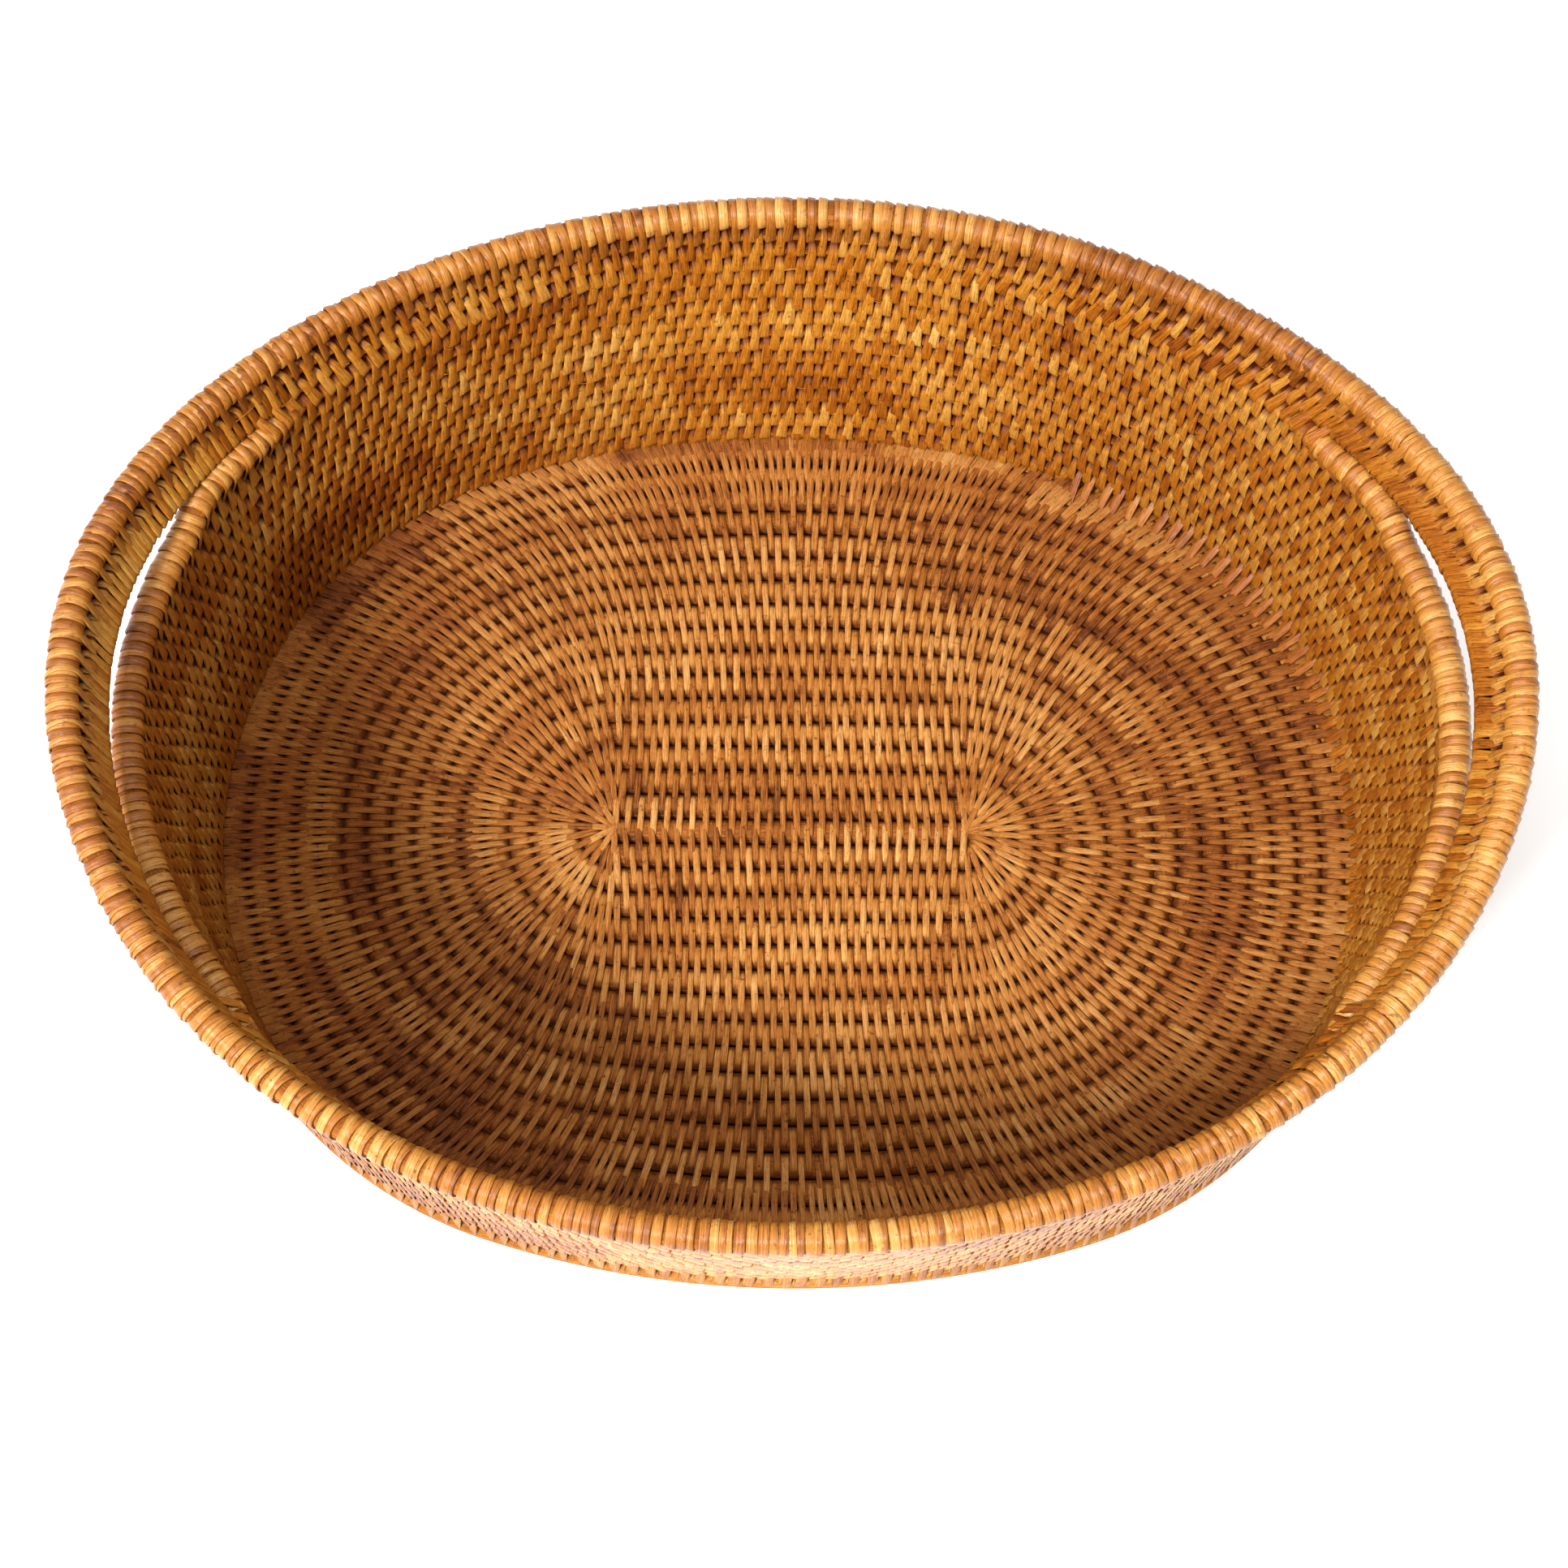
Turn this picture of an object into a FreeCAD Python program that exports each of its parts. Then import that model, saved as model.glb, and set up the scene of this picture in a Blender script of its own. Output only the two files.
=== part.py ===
import FreeCAD, Part
import math
import os

# Oval coiled rattan basket with two handles.
# Millimetres, +Z up, +X along the length, origin under the middle of the floor.
# The basket is one rod coiled outwards over the floor and then up the wall.
# Every turn is bound to the one inside or below it with flat rattan peel.
# Each coil solid here is the rod together with its binding of peel.

V = FreeCAD.Vector

DIMS = [
    ("spine_half", 61.0, "half length of the straight rod the floor starts from"),
    ("floor_pitch_side", 9.2, "spacing of the floor coils across the long sides"),
    ("floor_pitch_end", 8.3, "spacing of the floor coils at the two ends"),
    ("floor_radius", 4.05, "bound floor coil, rod radius plus peel"),
    ("floor_centre_z", 3.85, "height of the floor coils, flattened underneath"),
    ("floor_tightness", 0.0031, "how much each turn bows out along the sides"),
    ("wall_radius", 3.7, "bound wall coil, rod radius plus peel"),
    ("wall_first_z", 11.6, "height of the first wall coil, on the outermost floor coil"),
    ("wall_rise", 7.37, "height gained by each wall coil at the sides"),
    ("wall_half_length", 200.6, "half length of the first wall coil"),
    ("wall_half_width", 155.5, "half width of the first wall coil"),
    ("wall_flare_end", 0.685, "outward step of each wall coil at the ends"),
    ("wall_flare_side", 1.1, "outward step of each wall coil at the sides"),
    ("end_bow", 0.109, "share by which the ends stand higher than the sides"),
    ("corner_fullness", 0.0217, "how full the first wall coil is between end and side"),
    ("fullness_step", 0.00116, "fullness lost by each wall coil"),
    ("end_rim_lift", 1.1, "how far the thicker end rims stand over their row"),
    ("end_rim_tuck", 3.0, "inward shift of the end rims where they stop"),
    ("rim_half_length", 223.1, "half length of the rim, at the handles"),
    ("rim_half_width", 173.3, "half width of the rim"),
    ("rim_step", 9.2, "height of the rim over the last wall coil"),
    ("rim_radius", 5.4, "rim roll over its wrapping"),
    ("rim_core_radius", 4.3, "rod inside the rim roll"),
    ("wrap_bore", 4.5, "inside radius of the wrapping of the rim"),
    ("handle_lift", 9.2, "extra height of the rim over the hand openings"),
    ("band_step_out", 3.9, "lean of the handle band, per coil"),
    ("band_step_up", 1.85, "extra lift of the handle band, per coil downwards"),
]
FLOOR_TURNS = 17
WALL_ROWS = 13
END_RIM_ROW = 14
BAND_ROWS = (15, 16)
RIM_ROW = 17
END_RIM_ANGLE = 38.0
INFILL_ANGLE = 41.0
HANDLE_ANGLE = 40.0
JOIN_GAP_ANGLE = 0.15
SPLICE_TURN = 137.0

doc = FreeCAD.newDocument("rattan_basket")
os.makedirs("parts", exist_ok=True)


def make_sheet():
    sheet = doc.addObject("Spreadsheet::Sheet", "Dims")
    for row, (name, value, meaning) in enumerate(DIMS, start=1):
        sheet.set("A%d" % row, meaning)
        sheet.set("B%d" % row, str(value))
        sheet.setAlias("B%d" % row, name)
    doc.recompute()
    return sheet


sheet = make_sheet()
nodes = []


def dim(name):
    return float(sheet.get(name))


def keep(obj, label):
    """Mark an object as one finished piece of the basket."""
    obj.Label = label
    nodes.append(obj)
    return obj


# ---------------------------------------------------------------- floor

def torus_arc(name, centre, swing, start, size):
    """A bent rod: centre (x, y), bend radius, first angle and swept angle."""
    arc = doc.addObject("Part::Torus", name)
    arc.setExpression("Radius1", "(%s) * 1mm" % swing)
    arc.setExpression("Radius2", "Dims.floor_radius * 1mm")
    arc.setExpression("Angle3", size)
    arc.setExpression("Placement.Base.x", "(%s) * 1mm" % centre[0])
    arc.setExpression("Placement.Base.y", "(%s) * 1mm" % centre[1])
    arc.setExpression("Placement.Base.z", "Dims.floor_centre_z * 1mm")
    arc.Placement.Rotation = FreeCAD.Rotation(V(0, 0, 1), 0)
    arc.setExpression("Placement.Rotation.Angle", start)
    return arc


def underside_cutter():
    """Block below the floor, it takes the flats off the floor coils."""
    block = doc.addObject("Part::Box", "underside")
    block.setExpression("Length", "2 * Dims.rim_half_length * 1mm")
    block.setExpression("Width", "2 * Dims.rim_half_width * 1mm")
    block.setExpression("Height", "2 * Dims.floor_radius * 1mm")
    block.setExpression("Placement.Base.x", "-Dims.rim_half_length * 1mm")
    block.setExpression("Placement.Base.y", "-Dims.rim_half_width * 1mm")
    block.setExpression("Placement.Base.z", "-2 * Dims.floor_radius * 1mm")
    return block


def flatten(solid, label):
    """The floor coils are pressed flat where the basket stands."""
    cut = doc.addObject("Part::Cut", label)
    cut.Base = solid
    cut.Tool = underside_cutter()
    return keep(cut, label)


def floor_spine():
    rod = doc.addObject("Part::Cylinder", "spine_rod")
    rod.setExpression("Radius", "Dims.floor_radius * 1mm")
    rod.setExpression("Height", "2 * Dims.spine_half * 1mm")
    rod.Placement.Rotation = FreeCAD.Rotation(V(0, 1, 0), 90)
    rod.setExpression("Placement.Base.x", "-Dims.spine_half * 1mm")
    rod.setExpression("Placement.Base.z", "Dims.floor_centre_z * 1mm")
    flatten(rod, "floor_spine")


def floor_coil(turn):
    """One turn: an oval of two end bends and two slack side bends."""
    long_half = "(Dims.spine_half + %d * Dims.floor_pitch_end)" % turn
    wide_half = "(%d * Dims.floor_pitch_side)" % turn
    end = "(%s * (1 - %d * Dims.floor_tightness))" % (wide_half, turn)
    side = "((%s^2 + %s^2 - 2 * %s * %s) / (2 * (%s - %s)))" % (
        long_half, wide_half, long_half, end, wide_half, end)
    reach = "(%s - %s)" % (long_half, end)
    drop = "(%s - %s)" % (side, wide_half)
    half_turn = "atan(%s / %s)" % (drop, reach)
    end_size = "2 * %s" % half_turn
    side_size = "180deg - 2 * %s" % half_turn
    name = "turn_%02d_" % turn
    arcs = [
        torus_arc(name + "right", (reach, "0"), end, "-" + half_turn, end_size),
        torus_arc(name + "back", ("0", "-" + drop), side, half_turn, side_size),
        torus_arc(name + "left", ("-" + reach, "0"), end, "180deg - " + half_turn, end_size),
        torus_arc(name + "front", ("0", drop), side, "180deg + " + half_turn, side_size),
    ]
    ring = doc.addObject("Part::MultiFuse", name + "ring")
    ring.Shapes = arcs
    flatten(ring, "floor_coil_%02d" % turn)


# ---------------------------------------------------------------- wall

def row_oval(row, raised=0.0, inward=0.0):
    """Half length, half width, height, end lift and corner fullness of a row."""
    step = row - 1
    long_half = dim("wall_half_length") + step * dim("wall_flare_end")
    wide_half = dim("wall_half_width") + step * dim("wall_flare_side")
    height = dim("wall_first_z") + step * dim("wall_rise") + raised
    lift = 0.0
    if row in BAND_ROWS:
        below_rim = RIM_ROW - row
        long_half = dim("rim_half_length") - below_rim * dim("band_step_out")
        lift = dim("handle_lift") + below_rim * dim("band_step_up")
    if row == RIM_ROW:
        long_half = dim("rim_half_length")
        wide_half = dim("rim_half_width")
        height = height - dim("wall_rise") + dim("rim_step")
        lift = dim("handle_lift")
    fullness = dim("corner_fullness") - step * dim("fullness_step")
    return long_half - inward, wide_half - inward, height, lift, fullness


def wall_point(row, angle):
    """Point of a wall coil at an angle in degrees, 0 at the right-hand end."""
    return oval_point(row_oval(row), angle)


def end_rim_point(row, angle):
    """The end rims ride above their row and drift inwards towards their tips."""
    away = math.remainder(angle, 180) / END_RIM_ANGLE
    inward = dim("end_rim_tuck") * away ** 2
    return oval_point(row_oval(row, dim("end_rim_lift"), inward), angle)


def oval_point(oval, angle):
    """Point of a full-cornered oval whose two ends sweep upwards."""
    long_half, wide_half, height, lift, fullness = oval
    turn = math.radians(angle)
    x = (1 + fullness) * math.cos(turn) - fullness * math.cos(3 * turn)
    y = (1 + fullness) * math.sin(turn) + fullness * math.sin(3 * turn)
    rise = height * dim("end_bow") * x ** 4 + lift * x ** 10
    return V(long_half * x, wide_half * y, height + rise)


def coil_path(name, point_at, row, first, last):
    """Centre line of a coil between two angles."""
    count = max(12, int(round((last - first) / 8)))
    points = [point_at(row, first + (last - first) * i / count)
              for i in range(count + 1)]
    curve = Part.BSplineCurve()
    curve.interpolate(points)
    path = doc.addObject("Part::Feature", name + "_path")
    path.Shape = curve.toShape()
    return path, curve


def rod_on_path(name, path, curve, radius):
    """Sweep a round section, bound to its named radius, along a coil path."""
    circle = doc.addObject("Part::Circle", name + "_section")
    circle.setExpression("Radius", "Dims.%s * 1mm" % radius)
    along = curve.tangent(curve.FirstParameter)[0]
    circle.Placement = FreeCAD.Placement(
        curve.value(curve.FirstParameter), FreeCAD.Rotation(V(0, 0, 1), along))
    rod = doc.addObject("Part::Sweep", name)
    rod.Sections = [circle]
    rod.Spine = (path, ["Edge1"])
    rod.Solid = True
    rod.Frenet = False
    return rod


def full_turn(splice):
    """Angles of a whole turn, open by a hair where the rod is spliced."""
    return splice + JOIN_GAP_ANGLE / 2, splice + 360 - JOIN_GAP_ANGLE / 2


def wall_coil(row):
    name = "wall_coil_%02d" % row
    first, last = full_turn(SPLICE_TURN * row)
    path, curve = coil_path(name, wall_point, row, first, last)
    keep(rod_on_path(name, path, curve, "wall_radius"), name)


def wall_infill(side, middle):
    """Row between the two end rims, present only at the front and the back."""
    half = 90 - INFILL_ANGLE
    name = "wall_coil_%02d_%s" % (END_RIM_ROW, side)
    path, curve = coil_path(name, wall_point, END_RIM_ROW, middle - half, middle + half)
    keep(rod_on_path(name, path, curve, "wall_radius"), name)


def wrapping(name, path, curve):
    """Close wrapping of peel, a sleeve around the rod on the same path."""
    sleeve = doc.addObject("Part::Cut", name)
    sleeve.Base = rod_on_path(name + "_outside", path, curve, "rim_radius")
    sleeve.Tool = rod_on_path(name + "_bore", path, curve, "wrap_bore")
    keep(sleeve, name)


def end_rim(side, middle):
    """Lower rim under a hand opening: a rod and its wrapping."""
    core = "end_rim_core_" + side
    path, curve = coil_path(core, end_rim_point, END_RIM_ROW,
                            middle - END_RIM_ANGLE, middle + END_RIM_ANGLE)
    keep(rod_on_path(core, path, curve, "rim_core_radius"), core)
    wrapping("end_rim_wrap_" + side, path, curve)


def rim():
    """One rod all round, wrapped in four lengths: two handles, front, back."""
    first, last = full_turn(90)
    path, curve = coil_path("rim_core", wall_point, RIM_ROW, first, last)
    keep(rod_on_path("rim_core", path, curve, "rim_core_radius"), "rim_core")
    for name, middle, reach in (("handle_wrap_right", 0, HANDLE_ANGLE),
                                ("rim_wrap_back", 90, 90 - HANDLE_ANGLE),
                                ("handle_wrap_left", 180, HANDLE_ANGLE),
                                ("rim_wrap_front", 270, 90 - HANDLE_ANGLE)):
        half = reach - JOIN_GAP_ANGLE / 2
        path, curve = coil_path(name, wall_point, RIM_ROW, middle - half, middle + half)
        wrapping(name, path, curve)


# ---------------------------------------------------------------- assembly

floor_spine()
for turn in range(1, FLOOR_TURNS + 1):
    floor_coil(turn)
for row in range(1, WALL_ROWS + 1):
    wall_coil(row)
wall_infill("back", 90)
wall_infill("front", 270)
end_rim("right", 0)
end_rim("left", 180)
for row in BAND_ROWS:
    wall_coil(row)
rim()

doc.recompute()
for obj in doc.Objects:
    if "Invalid" in obj.State or "Error" in obj.State:
        raise RuntimeError("%s did not rebuild: %s" % (obj.Name, obj.State))
for obj in nodes:
    if obj.Shape.isNull() or not obj.Shape.isValid():
        raise RuntimeError("%s has no valid shape" % obj.Label)
    if len(obj.Shape.Solids) != 1:
        raise RuntimeError("%s is not one solid" % obj.Label)
    obj.Shape.exportStep("parts/%s.step" % obj.Label)
    print(obj.Label, round(obj.Shape.Volume), "mm3")
print(len(nodes), "pieces")
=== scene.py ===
"""Oval coiled rattan basket: one rod coiled over the floor and up the wall, bound with strips of peel.

Lengths are worked out in millimetres, in the frame of the CAD model, and meshes are written in metres.
"""

import math

import bpy
import numpy as np
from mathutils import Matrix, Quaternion, Vector


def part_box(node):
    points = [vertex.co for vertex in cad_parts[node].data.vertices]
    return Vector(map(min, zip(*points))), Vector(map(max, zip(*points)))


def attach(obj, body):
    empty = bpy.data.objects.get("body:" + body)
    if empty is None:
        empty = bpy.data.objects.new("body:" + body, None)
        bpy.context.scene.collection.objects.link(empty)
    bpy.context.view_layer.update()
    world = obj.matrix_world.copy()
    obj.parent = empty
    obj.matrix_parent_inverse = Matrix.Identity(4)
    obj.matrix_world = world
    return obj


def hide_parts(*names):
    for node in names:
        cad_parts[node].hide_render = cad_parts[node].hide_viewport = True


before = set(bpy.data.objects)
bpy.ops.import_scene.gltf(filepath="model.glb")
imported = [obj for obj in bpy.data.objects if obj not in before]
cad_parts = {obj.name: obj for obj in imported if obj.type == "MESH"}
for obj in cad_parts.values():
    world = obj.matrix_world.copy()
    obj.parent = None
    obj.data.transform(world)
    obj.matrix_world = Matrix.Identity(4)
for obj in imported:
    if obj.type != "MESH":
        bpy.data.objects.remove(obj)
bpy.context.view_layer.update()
rng = np.random.default_rng(11)
MM = 0.001

# ------------------------------------------------------------------ sizes, in mm and degrees

# _ROD is the radius of a rod, _PEEL a thickness of peel, and _STITCH, _BELT and _WRAP are widths of strips

# floor: a spiral round a straight start, wider than high by its spread, with its last turn as the foot
SPINE_HALF = 61.0
FLOOR_PITCH_SIDE = 9.2
FLOOR_PITCH_END = 8.3
FLOOR_TIGHTNESS = 0.0031
FLOOR_TURNS = 17
FLOOR_Z = 4.6
FLOOR_ROD = 3.85
FLOOR_ROD_SPREAD = 1.2
FLOOR_PEEL = 0.42
FLOOR_STITCH = 2.35
FLOOR_STITCH_PITCH = 4.5
FOOT_STITCH = 3.9

# the floor spiral is counted in quarter turns; its thinning tail is a part of one
QUARTERS = 4
FLOOR_END = QUARTERS * float(FLOOR_TURNS)
FLOOR_TAIL = 0.45

# wall: rows 1 to 13, the end rims and the short rows as 14, the band as 15 and 16, the rim as 17
# the CAD's coils are rods with their binding
WALL_ROWS = 13
END_RIM_ROW = 14
BAND_LOW, BAND_HIGH = 15, 16
RIM_ROW = 17
FULL_ROWS = list(range(1, WALL_ROWS + 1)) + [BAND_LOW, BAND_HIGH]
ALL_ROUND = np.arange(0, 360, 1.2)
CAD_ROD = 3.7
CAD_RIM = 4.3
WALL_ROD = 3.3
WALL_PEEL = 0.5
WALL_STITCH = 3.9
WALL_STITCHES = 204
BAND_STITCH = 3.1
RIM_ROD = 4.5
RIM_PEEL = 0.55
RIM_BELT = 3.5
RIM_WRAP = 3.4
END_BOW = 0.109
FULLNESS = 0.0217
FULLNESS_STEP = 0.00116
HANDLE_HALF_ANGLE = 39.0
HANDLE_ROLL_ANGLE = 40

# end rims: lift over their row, inward drift to the angle where the CAD's stop, and where they thin out
END_RIM_LIFT = 1.1
END_RIM_DRIFT = 3.0
END_RIM_ANGLE = 38.0
TIP_START = 31
TIP_RUN = 10

# past the hand openings the rows above row 8 rise until they touch the band
SWELL_ROW = 8
TOUCHING = 7.8
SWELL_START_BACK = 19
SWELL_START_FRONT = 32
SWELL_RUN = 7

# lie of the strips: slant in mm, tilt in thicknesses of peel, and how much painted light makes the outside
# paler
FLOOR_LEAN = 0.25
WALL_LEAN = -0.7
WRAP_TILT = 1.1
FLOOR_OUTSIDE_LIGHT = 0.6
WALL_OUTSIDE_LIGHT = 0.05
WALL_LAY = dict(pinch=0.8, tilt=0.2, taper=0.3, outside_light=WALL_OUTSIDE_LIGHT)
RIM_LAY = dict(pinch=0.95, tilt=WRAP_TILT, edge=True)
UP = [0.0, 0.0, 1.0]


def cad_row(node, rod):
    """Half length, half width, side height and end height of a CAD coil's centre line."""
    low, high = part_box(node)
    return ((high[0] - low[0]) / 2 / MM - rod, (high[1] - low[1]) / 2 / MM - rod,
            low[2] / MM + rod, high[2] / MM - rod)


# ------------------------------------------------------------------ centre lines


def floor_point(q):
    """Point of the floor spiral. Each turn has four parts: right bend, front side, left bend, back side.

    q counts the parts. The straight start of the rod is -1 to 0, and the turns follow from 0.
    """
    q = np.asarray(q, float)
    turn = np.floor(q / QUARTERS)
    part = np.floor(q).astype(int) % QUARTERS
    f = q - np.floor(q)
    u = turn + np.where(part == 0, 0.5 - 0.5 * np.cos(np.pi * f), 1.0)
    u = np.clip(u, 0.02, FLOOR_TURNS)
    a = SPINE_HALF + u * FLOOR_PITCH_END
    b = u * FLOOR_PITCH_SIDE
    r = b * (1 - u * FLOOR_TIGHTNESS)
    side = (a * a + b * b - 2 * a * r) / (2 * (b - r))
    half = np.arctan2(side - b, a - r)
    angle = np.choose(part, [half - 2 * half * f, -half - (np.pi - 2 * half) * f,
                             half - np.pi - 2 * half * f, np.pi - half - (np.pi - 2 * half) * f])
    bend = part % 2 == 0
    radius = np.where(bend, r, side)
    centre_x = np.where(bend, (a - r) * np.where(part == 0, 1, -1), 0)
    centre_y = np.where(bend, 0, (side - b) * np.where(part == 1, 1, -1))
    x = centre_x + radius * np.cos(angle)
    y = centre_y + radius * np.sin(angle)
    start = q < 0
    x = np.where(start, SPINE_HALF * (2 * (q + 1) - 1), x)
    y = np.where(start, 0.0, y)
    return np.stack([x, y, np.full_like(x, FLOOR_Z)], -1)


def inner_q(q):
    """Where the turn inside lies, for a stitch at q."""
    q = np.asarray(q, float)
    f = q - np.floor(q)
    inside = np.where(q >= 3, q - QUARTERS, q)
    inside = np.where((q >= 1) & (q < 2), -f, inside)
    return np.where((q >= 2) & (q < 3), -1.0, inside)


def oval(long_half, wide_half, height, end_height, full, angle):
    """Point of a full-cornered oval at an angle in degrees, 0 at the right-hand end."""
    t = np.radians(angle)
    x = (1 + full) * np.cos(t) - full * np.cos(3 * t)
    y = (1 + full) * np.sin(t) + full * np.sin(3 * t)
    bow = height * END_BOW
    z = height + bow * x ** 4 + (end_height - height - bow) * x ** 10
    return np.stack([long_half * x, wide_half * y, z], -1)


ROW_SHAPE = {row: cad_row("wall_coil_%02d" % row, CAD_ROD) for row in FULL_ROWS}
ROW_SHAPE[RIM_ROW] = cad_row("rim_core", CAD_RIM)
ROW_SHAPE[END_RIM_ROW] = tuple(2 * np.array(ROW_SHAPE[13]) - np.array(ROW_SHAPE[12]))


def smooth(f):
    """Eases from 0 to 1 as f does."""
    f = np.clip(f, 0, 1)
    return f * f * (3 - 2 * f)


def fullness(row):
    """How full a row is between end and side."""
    return FULLNESS - (row - 1) * FULLNESS_STEP


def away_from_end(angle):
    """Degrees from the nearer end of the basket."""
    return np.abs(((np.asarray(angle) + 90) % 180) - 90)


def plain_row(row, angle):
    """Centre line of a row as the CAD has it."""
    return oval(*ROW_SHAPE[row], fullness(row), np.asarray(angle, float))


def swell(row, angle):
    """Where a hand opening ends, the upper rows rise to meet the band, sooner at the back."""
    gap = plain_row(BAND_LOW, angle) - plain_row(END_RIM_ROW, angle)
    size = np.linalg.norm(gap, axis=-1)
    share = np.clip((row - SWELL_ROW) / (END_RIM_ROW - SWELL_ROW), 0, 1)
    spare = np.maximum(size - TOUCHING, 0) * share
    start = np.where(np.asarray(angle) % 360 < 180, SWELL_START_BACK, SWELL_START_FRONT)
    here = smooth((away_from_end(angle) - start) / SWELL_RUN)
    return gap * (spare * here / size)[..., None]


def row_point(row, angle):
    """Centre line of a row."""
    line = plain_row(row, angle)
    return line + swell(row, angle) if SWELL_ROW < row <= END_RIM_ROW else line


def rim_point(angle):
    """Centre line of the rim."""
    return row_point(RIM_ROW, angle)


def tip(angle):
    """0 along an end rim, rising to 1 where it has run into row 14."""
    return smooth((away_from_end(angle) - TIP_START) / TIP_RUN)


def end_rim_radius(angle):
    """The rod of an end rim thins to a wall rod at its tips."""
    return RIM_ROD + (WALL_ROD - RIM_ROD) * tip(angle)


def end_rim_point(angle):
    """The end rims ride above their row and run into it at their tips."""
    angle = np.asarray(angle, float)
    a, b, height, end_height = ROW_SHAPE[END_RIM_ROW]
    inward = END_RIM_DRIFT * (away_from_end(angle) / END_RIM_ANGLE) ** 2
    free = oval(a - inward, b - inward, height + END_RIM_LIFT, end_height + END_RIM_LIFT * (1 + END_BOW),
                fullness(END_RIM_ROW), angle) + 0.8 * swell(END_RIM_ROW, angle)
    joined = tip(angle)[..., None]
    return (1 - joined) * free + joined * row_point(END_RIM_ROW, angle)


# ------------------------------------------------------------------ strips of peel and rods


def unit(v):
    """Vectors at length 1."""
    return v / np.maximum(np.linalg.norm(v, axis=-1, keepdims=True), 1e-9)


def run_length(line):
    """Distance along a line of points."""
    return np.concatenate([[0], np.cumsum(np.linalg.norm(np.diff(line, axis=0), axis=1))])


def painted_shade(points):
    """How far each point, given in metres, is darkened.

    Painted shade darkens the two ends inside, the left most, the corner under the wall, and all of
    the outside a little; the left handle is darkened too.
    """
    x, y, z = points.T
    ends = np.clip((np.abs(x) - 0.03) / 0.12, 0, 1) * np.where(x < 0, 0.85, 0.6) * np.clip(1 - z / 0.25, 0, 1)
    corner = np.clip((np.abs(y) - 0.05) / 0.10, 0, 1) * np.clip(1 - z / 0.05, 0, 1)
    handle = np.clip((z - 0.135) / 0.01, 0, 1) * np.clip(-x / 0.2, 0, 1)
    outside = np.clip((x / 0.2075) ** 2 + (y / 0.1635) ** 2 - 1, 0, 0.12) / 0.12
    outside = outside * np.clip((0.155 - z) / 0.02, 0, 1)
    return np.clip(ends + 0.25 * corner + 0.3 * handle, 0, 1) * (1 - outside) + 0.35 * outside


class Weave:
    """Collects strips and rods of one piece of the basket and makes its mesh."""

    def __init__(self):
        self.points, self.quads, self.strip = [], [], []
        self.tone, self.dive, self.worn = [], [], []
        self.count = 0

    def add(self, grid, strip, tone, dive, worn=0.0, closed_path=True):
        """grid is strips x path points x section points x 3; sections are closed rings."""
        n, m, k, _ = grid.shape
        index = (np.arange(n * m * k) + self.count).reshape(n, m, k)
        ahead = np.roll(index, -1, axis=1)
        if not closed_path:
            index, ahead = index[:, :-1], ahead[:, :-1]
        quads = np.stack([index, np.roll(index, -1, axis=2), np.roll(ahead, -1, axis=2), ahead], -1)
        self.quads.append(quads.reshape(-1, 4))
        self.points.append(grid.reshape(-1, 3))
        self.strip.append(np.broadcast_to(strip, grid.shape).reshape(-1, 3))
        for values, value in ((self.tone, tone), (self.dive, dive), (self.worn, worn)):
            values.append(np.broadcast_to(value, grid.shape[:3]).reshape(-1))
        self.count += n * m * k

    def mesh(self, name, material):
        """One object of all that was added, with what the materials read at each point."""
        points = np.concatenate(self.points) * MM
        quads = np.concatenate(self.quads)
        mesh = bpy.data.meshes.new(name)
        mesh.vertices.add(len(points))
        mesh.vertices.foreach_set("co", points.ravel())
        mesh.loops.add(quads.size)
        mesh.loops.foreach_set("vertex_index", quads.ravel().astype(np.int32))
        mesh.polygons.add(len(quads))
        mesh.polygons.foreach_set("loop_start", np.arange(0, quads.size, 4, dtype=np.int32))
        mesh.update(calc_edges=True)
        mesh.polygons.foreach_set("use_smooth", np.ones(len(quads), bool))
        mesh.attributes.new("strip", "FLOAT_VECTOR", "POINT").data.foreach_set(
            "vector", np.concatenate(self.strip).astype(np.float32).ravel())
        # the last attribute holds painted shade, worked out from where each point lies
        for key, values in (("tone", self.tone), ("dive", self.dive), ("worn", self.worn),
                            ("painted_shade", [painted_shade(points)])):
            mesh.attributes.new(key, "FLOAT", "POINT").data.foreach_set(
                "value", np.concatenate(values).astype(np.float32))
        mesh.materials.append(material)
        obj = bpy.data.objects.new(name, mesh)
        bpy.context.scene.collection.objects.link(obj)
        return obj


ARC_POINTS = 8
ROD_SIDES = 12


def belt_section(d, ra, rb):
    """A tight loop round two circles d apart: places along, places out, and the angle each point faces."""
    phi = np.arccos(np.clip((ra - rb) / d, -0.9, 0.9))[:, None]
    step = np.linspace(0, 1, ARC_POINTS)
    far = phi * (1 - 2 * step)
    near = -phi - (2 * np.pi - 2 * phi) * step
    top = phi * np.ones(2)
    bottom = -phi * np.ones(1)
    faces = np.concatenate([far, bottom, near, top], 1)
    along = np.concatenate([
        d[:, None] + rb[:, None] * np.cos(far),
        0.5 * (d[:, None] + (ra + rb)[:, None] * np.cos(phi)),
        ra[:, None] * np.cos(near),
        d[:, None] * np.array([[0.33, 0.67]]) + np.cos(phi) * (
            ra[:, None] * [[0.67, 0.33]] + rb[:, None] * [[0.33, 0.67]])], 1)
    out = np.concatenate([
        rb[:, None] * np.sin(far),
        -0.5 * (ra + rb)[:, None] * np.sin(phi),
        ra[:, None] * np.sin(near),
        np.sin(phi) * (ra[:, None] * [[0.67, 0.33]] + rb[:, None] * [[0.33, 0.67]])], 1)
    return along, out, faces


SECTION_ACROSS = np.array([-0.5, -0.42, 0.0, 0.42, 0.5])
SECTION_OUT = np.array([0.05, 0.88, 1.0, 0.88, 0.05])


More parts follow.
